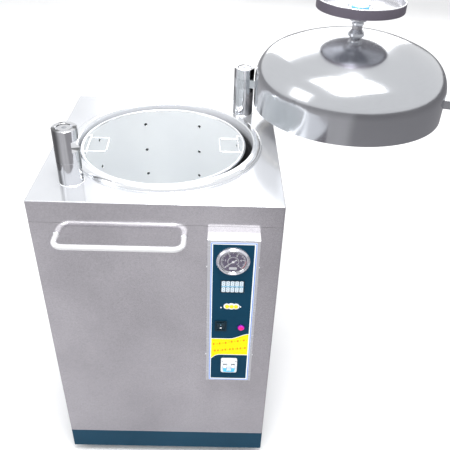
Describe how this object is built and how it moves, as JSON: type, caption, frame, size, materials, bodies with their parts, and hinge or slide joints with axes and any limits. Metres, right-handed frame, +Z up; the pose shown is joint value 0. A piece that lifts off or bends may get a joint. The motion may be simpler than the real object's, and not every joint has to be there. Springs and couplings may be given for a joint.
{
  "type": "vertical top-loading autoclave",
  "caption": "Floor-standing vertical autoclave with a square cabinet, round vessel, lifting basket, swing-away domed lid on a clamp beam, hand wheel and front control column.",
  "frame": {"origin": "on the floor, on the vessel's axis and in the middle of the four foot holes", "axes": "+X to the operator's right, +Y to the rear, +Z up along the vessel's axis"},
  "size_m": [0.9367, 0.6565, 1.12],
  "materials": {
    "foot_rubber": "matt",
    "plinth_paint": "semi-gloss teal paint",
    "cabinet_steel": "fine brushed",
    "deck_steel": "polished",
    "polished_steel": "polished",
    "vessel_steel": "machined and pickled",
    "frame_paint": "grey primer",
    "lagging": "glass-fibre blanket",
    "element_sheath": "heat tinted",
    "brass": "satin",
    "black_plastic": "matt",
    "overlay_film": "printed film",
    "gauge_face": "printed dial",
    "clear_glass": "clear",
    "display_black": "smoked window",
    "key_white": "printed outline",
    "key_yellow": "moulded",
    "lamp_red": "translucent",
    "breaker_white": "moulded",
    "toggle_blue": "moulded",
    "seal_silicone": "silicone",
    "lid_steel": "spun and polished",
    "beam_steel": "satin",
    "wheel_grey": "satin grey",
    "cap_blue": "moulded"
  },
  "bodies": {
    "cabinet": {"rubber_feet": "foot_rubber", "base_frame": "plinth_paint", "body_wrap": "cabinet_steel", "rear_panel": "cabinet_steel", "deck_panel": "deck_steel", "inner_frame": "frame_paint", "vessel_shell": "vessel_steel", "vessel_flange": "polished_steel", "vessel_skirt": "frame_paint", "insulation_jacket": "lagging", "heating_element": "element_sheath", "heater_glands": "brass", "rack_plate": "vessel_steel", "drain_pipe": "vessel_steel", "drain_valve": "brass", "relief_valve": "brass", "mains_gland": "black_plastic", "front_handle": "polished_steel", "control_housing": "cabinet_steel", "housing_screws": "polished_steel", "control_overlay": "overlay_film", "gauge_case": "polished_steel", "gauge_dial": "gauge_face", "gauge_glass": "clear_glass", "display_module": "display_black", "key_bezel": "key_white", "status_leds": "key_white", "rocker_frame": "black_plastic", "lamp_bezel": "polished_steel", "lamp_lens": "lamp_red", "breaker_body": "breaker_white", "hinge_column": "polished_steel", "hinge_pin": "polished_steel", "hinge_cap": "polished_steel", "latch_column": "polished_steel", "latch_head": "polished_steel", "latch_cap": "polished_steel", "latch_bolt": "polished_steel"},
    "swing_beam": {"beam": "beam_steel", "beam_nut": "brass"},
    "lid": {"lid_plate": "lid_steel", "lid_gasket": "seal_silicone", "lid_cover": "lid_steel", "thrust_bearing": "polished_steel", "bearing_retainer": "polished_steel"},
    "screw": {"lid_screw": "polished_steel", "hand_wheel": "wheel_grey", "wheel_cap": "cap_blue"},
    "basket": {"basket_body": "vessel_steel", "basket_rim": "polished_steel"},
    "right_bail": {"bail_right": "polished_steel"},
    "left_bail": {"bail_left": "polished_steel"},
    "needle": {"gauge_pointer": "key_white"},
    "left_key": {"key_left": "key_yellow"},
    "middle_key": {"key_middle": "key_yellow"},
    "right_key": {"key_right": "key_yellow"},
    "power_rocker": {"rocker_key": "black_plastic"},
    "breaker_levers": {"breaker_toggle": "toggle_blue"},
    "drain_handle": {"drain_lever": "polished_steel"},
    "relief_pull": {"relief_ring": "polished_steel"}
  },
  "joints": [
    {"name": "lid_swing", "type": "hinge", "parent": "cabinet", "child": "swing_beam", "pos_m": [0.17925, 0.17925, 0.9035], "axis": [0, 0, 1], "range_deg": [-123, 0]},
    {"name": "lid_lift", "type": "slide", "parent": "swing_beam", "child": "lid", "axis": [0, 0, 1], "range_m": [-0.0407, 0]},
    {"name": "wheel_turn", "type": "hinge", "parent": "lid", "child": "screw", "pos_m": [0.42721, 0.12655, 1], "axis": [0, 0, 1], "range_deg": [-1466, 0]},
    {"name": "basket_lift", "type": "slide", "parent": "cabinet", "child": "basket", "axis": [0, 0, 1], "range_m": [0, 0.62]},
    {"name": "right_bail_fold", "type": "hinge", "parent": "basket", "child": "right_bail", "pos_m": [0.16675, 0.00475, 0.814], "axis": [-0.0419, 0.9991, 0], "range_deg": [0, 95]},
    {"name": "left_bail_fold", "type": "hinge", "parent": "basket", "child": "left_bail", "pos_m": [-0.17915, -0.00975, 0.814], "axis": [0.0419, -0.9991, 0], "range_deg": [0, 95]},
    {"name": "needle_turn", "type": "hinge", "parent": "cabinet", "child": "needle", "pos_m": [0.1555, -0.29, 0.705], "axis": [0, 1, 0], "range_deg": [0, 270]},
    {"name": "left_key_press", "type": "slide", "parent": "cabinet", "child": "left_key", "axis": [0, 1, 0], "range_m": [0, 0.0015], "stiffness_N_per_m": 200},
    {"name": "middle_key_press", "type": "slide", "parent": "cabinet", "child": "middle_key", "axis": [0, 1, 0], "range_m": [0, 0.0015], "stiffness_N_per_m": 200},
    {"name": "right_key_press", "type": "slide", "parent": "cabinet", "child": "right_key", "axis": [0, 1, 0], "range_m": [0, 0.0015], "stiffness_N_per_m": 200},
    {"name": "rocker_tilt", "type": "hinge", "parent": "cabinet", "child": "power_rocker", "pos_m": [0.1346, -0.2848, 0.521], "axis": [-1, 0, 0], "range_deg": [0, 20]},
    {"name": "breaker_throw", "type": "hinge", "parent": "cabinet", "child": "breaker_levers", "pos_m": [0.1563, -0.2913, 0.392], "axis": [-1, 0, 0], "range_deg": [0, 60]},
    {"name": "drain_turn", "type": "hinge", "parent": "cabinet", "child": "drain_handle", "pos_m": [0, 0.301, 0.125], "axis": [0, 0, 1], "range_deg": [0, 90]},
    {"name": "relief_pull_up", "type": "slide", "parent": "cabinet", "child": "relief_pull", "axis": [0, 0, 1], "range_m": [0, 0.004], "stiffness_N_per_m": 2000}
  ],
  "couplings": [
    {"joint": "wheel_turn", "follows": "lid_lift", "rad_per_m": 628.32}
  ]
}
